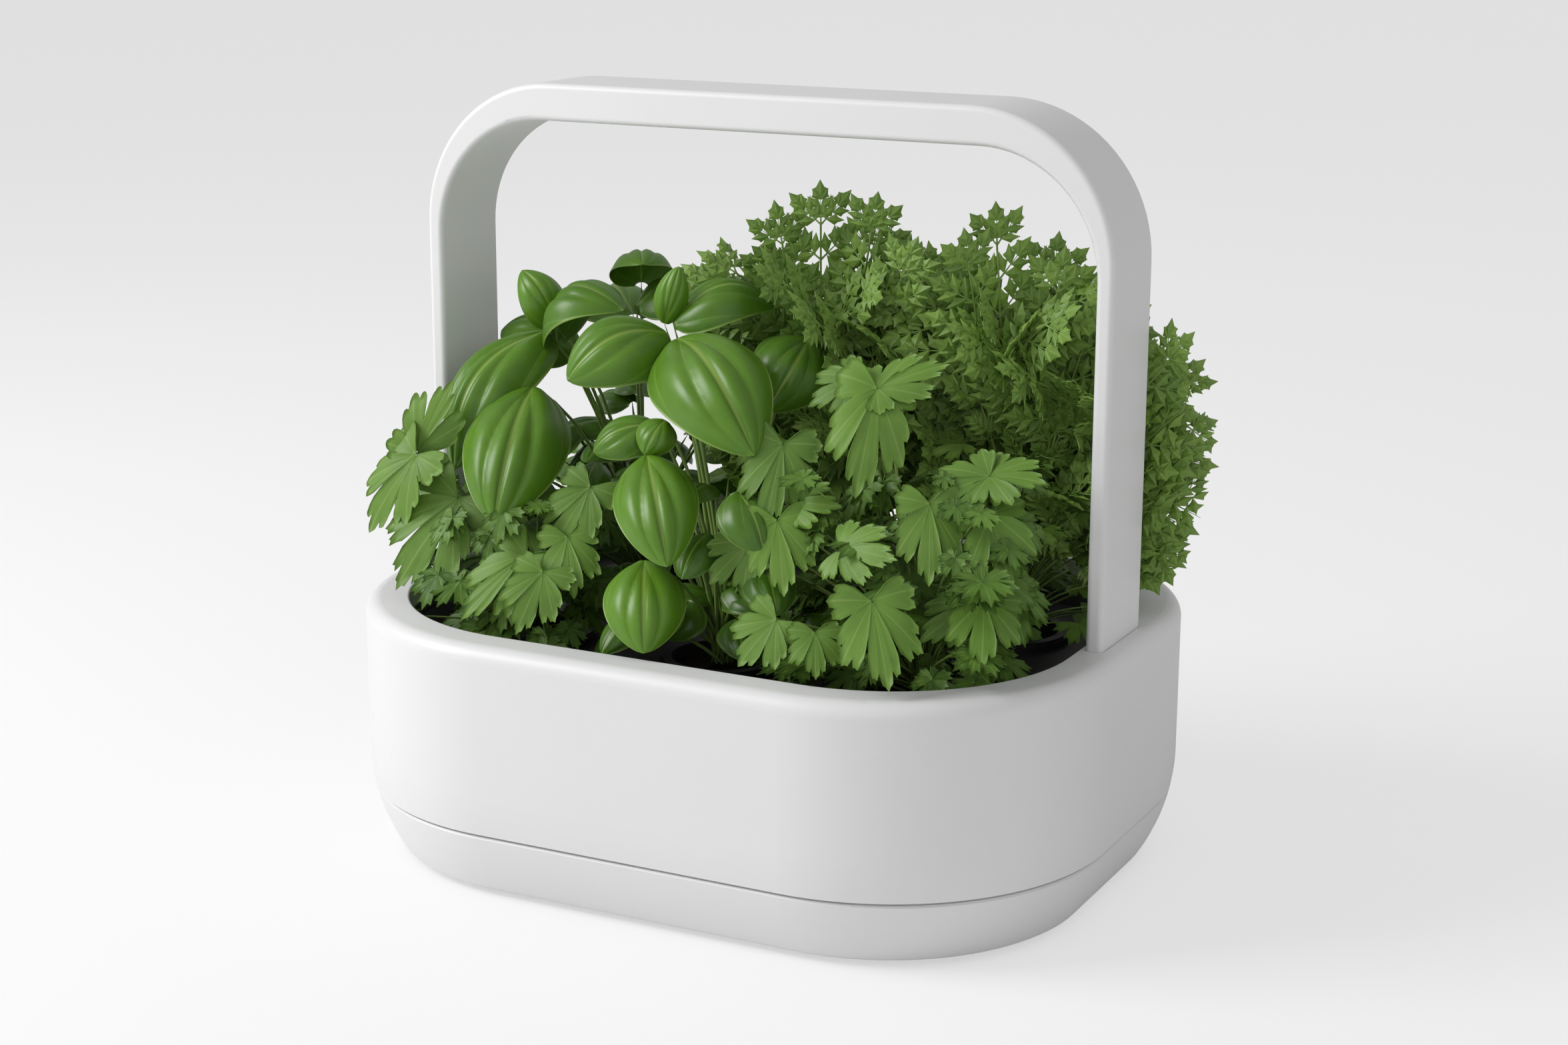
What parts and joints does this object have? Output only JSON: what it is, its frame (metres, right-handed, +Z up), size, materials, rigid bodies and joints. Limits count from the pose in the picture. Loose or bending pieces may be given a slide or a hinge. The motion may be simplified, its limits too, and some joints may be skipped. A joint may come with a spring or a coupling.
{
  "type": "countertop hydroponic garden",
  "caption": "Tabletop water garden: rounded white housing with tank and planting deck, leafy herbs, and an arch-shaped grow light that slides up on its two legs.",
  "frame": {"origin": "on the table, under the middle of the housing", "axes": "+Z up, +X along the housing's long side to the right as seen from the front, +Y to the back where the power inlet is"},
  "size_m": [0.375, 0.284, 0.351],
  "materials": {
    "white_housing": "satin white moulding",
    "black_tub": "matt black moulding",
    "cup_plastic": "matt black basket",
    "grow_sponge": "peat and foam plug",
    "basil_leaf": "glossy domed leaf",
    "parsley_leaf": "matt toothed leaf",
    "dill_leaf": "fine cut leaf",
    "aluminium_plate": "plain sheet",
    "circuit_board": "solder mask",
    "light_chips": "phosphor",
    "diffuser": "milky lens",
    "steel": "plain",
    "contact_brass": "polished",
    "guide_plastic": "natural moulding",
    "soft_rubber": "matt",
    "black_part": "fine matt",
    "float_foam": "closed foam"
  },
  "bodies": {
    "housing": {"base_screws": "steel", "base_shell": "white_housing", "basil_front": "basil_leaf", "basil_left": "basil_leaf", "button_switch": "black_part", "contact_rail_left": "contact_brass", "contact_rail_right": "contact_brass", "control_board": "circuit_board", "dill_back": "dill_leaf", "dill_right": "dill_leaf", "float_rod": "guide_plastic", "friction_pad_left": "soft_rubber", "friction_pad_right": "soft_rubber", "grow_deck": "black_tub", "grow_sponge_1": "grow_sponge", "grow_sponge_2": "grow_sponge", "grow_sponge_3": "grow_sponge", "grow_sponge_4": "grow_sponge", "grow_sponge_5": "grow_sponge", "grow_sponge_6": "grow_sponge", "impeller_shaft": "steel", "leg_guide_left": "guide_plastic", "leg_guide_right": "guide_plastic", "net_cup_1": "cup_plastic", "net_cup_2": "cup_plastic", "net_cup_3": "cup_plastic", "net_cup_4": "cup_plastic", "net_cup_5": "cup_plastic", "net_cup_6": "cup_plastic", "parsley_left": "parsley_leaf", "parsley_right": "parsley_leaf", "power_inlet": "black_part", "pump_body": "black_part", "pump_grille": "black_part", "pump_suckers": "soft_rubber", "reservoir_tank": "black_tub", "riser_pipe": "black_part", "rubber_feet": "soft_rubber", "upper_shell": "white_housing"},
    "light_arch": {"arch_frame": "white_housing", "heat_spreader": "aluminium_plate", "led_board": "circuit_board", "led_chips": "light_chips", "light_diffuser": "diffuser", "arch_screws": "steel", "leg_contact_right": "contact_brass", "leg_contact_left": "contact_brass"},
    "button": {"power_button": "white_housing"},
    "float": {"level_float": "float_foam"},
    "impeller": {"pump_impeller": "black_part"}
  },
  "joints": [
    {"name": "arch_height", "type": "slide", "parent": "housing", "child": "light_arch", "axis": [0, 0, 1], "range_m": [0, 0.07]},
    {"name": "button_press", "type": "slide", "parent": "housing", "child": "button", "axis": [0, -1, 0], "range_m": [0, 0.001], "stiffness_N_per_m": 900, "springref_m": -0.001},
    {"name": "float_rise", "type": "slide", "parent": "housing", "child": "float", "axis": [0, 0, 1], "range_m": [0, 0.045]},
    {"name": "impeller_spin", "type": "hinge", "parent": "housing", "child": "impeller", "pos_m": [0.02, 0, 0.0325], "axis": [1, 0, 0], "continuous": true}
  ]
}
